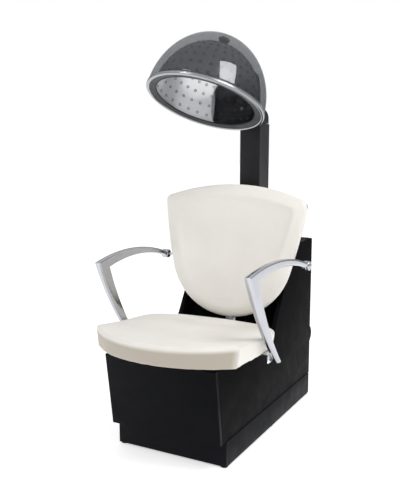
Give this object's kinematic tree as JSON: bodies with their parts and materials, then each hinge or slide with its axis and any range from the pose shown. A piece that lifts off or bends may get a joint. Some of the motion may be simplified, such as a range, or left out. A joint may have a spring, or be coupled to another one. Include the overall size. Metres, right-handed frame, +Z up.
{
  "type": "salon dryer chair",
  "caption": "Salon dryer chair: box base, upholstered seat and back, metal arms, and a column carrying a tilting, swivelling hood hair dryer with blower and controls.",
  "frame": {"origin": "on the floor, midway across the chair and midway along its depth without the mains lead", "axes": "+Z up, the chair faces -Y, +X to the sitter's left"},
  "size_m": [0.686, 1.3031, 1.5729],
  "materials": {
    "laminate_black": "semi-gloss black laminate board",
    "plinth_black": "satin black laminate",
    "column_black": "satin black powder coat",
    "steel_zinc": "bright zinc",
    "chrome_bracket": "polished chrome",
    "arm_metal": "polished cast aluminium",
    "rim_metal": "satin anodised",
    "vinyl_ivory": "matt ivory vinyl",
    "vinyl_black": "black backing vinyl",
    "plywood": "raw birch plywood",
    "dome_smoke": "smoked glossy acrylic",
    "liner_clear": "smoked clear acrylic",
    "plastic_black": "satin black moulding",
    "trim_rubber": "matt",
    "heater_wire": "oxidised resistance wire",
    "fan_plastic": "moulded",
    "brass_bush": "turned",
    "cord_pvc": "satin PVC"
  },
  "bodies": {
    "base": {"arm_bolts": "chrome_bracket", "arm_brackets": "chrome_bracket", "arm_knuckles": "arm_metal", "arm_left": "arm_metal", "arm_right": "arm_metal", "back_board_panel": "vinyl_black", "back_bolts": "chrome_bracket", "back_bracket": "chrome_bracket", "back_cushion": "vinyl_ivory", "back_pins": "steel_zinc", "back_upright": "chrome_bracket", "base_panel": "laminate_black", "column": "column_black", "column_brackets": "column_black", "column_cap": "column_black", "column_collar": "laminate_black", "cord_coil": "cord_pvc", "cord_tail": "cord_pvc", "front_panel": "laminate_black", "glides": "trim_rubber", "panel_screws": "steel_zinc", "plinth_front": "plinth_black", "plinth_rear": "plinth_black", "plinth_sides": "plinth_black", "plug": "cord_pvc", "power_cord": "cord_pvc", "rear_panel": "laminate_black", "seat_board_panel": "plywood", "seat_cushion": "vinyl_ivory", "seat_deck": "laminate_black", "seat_riser": "plywood", "side_panel_left": "laminate_black", "side_panel_right": "laminate_black", "slope_panel": "laminate_black", "strain_relief": "cord_pvc", "swivel_spindle": "steel_zinc", "thrust_washer": "plastic_black", "top_panel": "laminate_black"},
    "neck": {"neck_housing": "plastic_black", "swivel_bush": "brass_bush", "tilt_pin": "steel_zinc", "friction_washers": "plastic_black"},
    "hood": {"hood_rim": "rim_metal", "hood_dome": "dome_smoke", "hood_lip": "plastic_black", "lip_trim": "trim_rubber", "hood_liner": "liner_clear", "vent_cap": "plastic_black", "air_plenum": "plastic_black", "blower_housing": "plastic_black", "blower_motor": "steel_zinc", "heating_coils": "heater_wire", "thermostat": "steel_zinc", "hinge_block": "plastic_black"},
    "fan": {"fan_wheel": "fan_plastic", "motor_shaft": "steel_zinc"},
    "timer": {"timer_knob": "plastic_black"},
    "heat": {"heat_knob": "plastic_black"},
    "switch": {"power_switch": "plastic_black"}
  },
  "joints": [
    {"name": "hood_swivel", "type": "hinge", "parent": "base", "child": "neck", "pos_m": [0, 0.387, 1.221], "axis": [0, 0, 1], "range_deg": [-11.6, 38.4]},
    {"name": "hood_tilt", "type": "hinge", "parent": "neck", "child": "hood", "pos_m": [-0.01447, 0.3253, 1.26164], "axis": [0.9728, -0.2317, 0], "range_deg": [-14, 22]},
    {"name": "fan_spin", "type": "hinge", "parent": "hood", "child": "fan", "pos_m": [-0.01419, 0.32648, 1.32387], "axis": [0.2104, 0.8831, -0.4195], "continuous": true},
    {"name": "timer_turn", "type": "hinge", "parent": "hood", "child": "timer", "pos_m": [-0.02926, 0.35384, 1.32861], "axis": [0.2104, 0.8831, -0.4195], "range_deg": [0, 300]},
    {"name": "heat_turn", "type": "hinge", "parent": "hood", "child": "heat", "pos_m": [0.01374, 0.34446, 1.33042], "axis": [0.2104, 0.8831, -0.4195], "range_deg": [0, 240]},
    {"name": "power_rock", "type": "hinge", "parent": "hood", "child": "switch", "pos_m": [-0.01223, 0.33469, 1.29684], "axis": [0.9728, -0.2317, 0], "range_deg": [0, 16]}
  ]
}
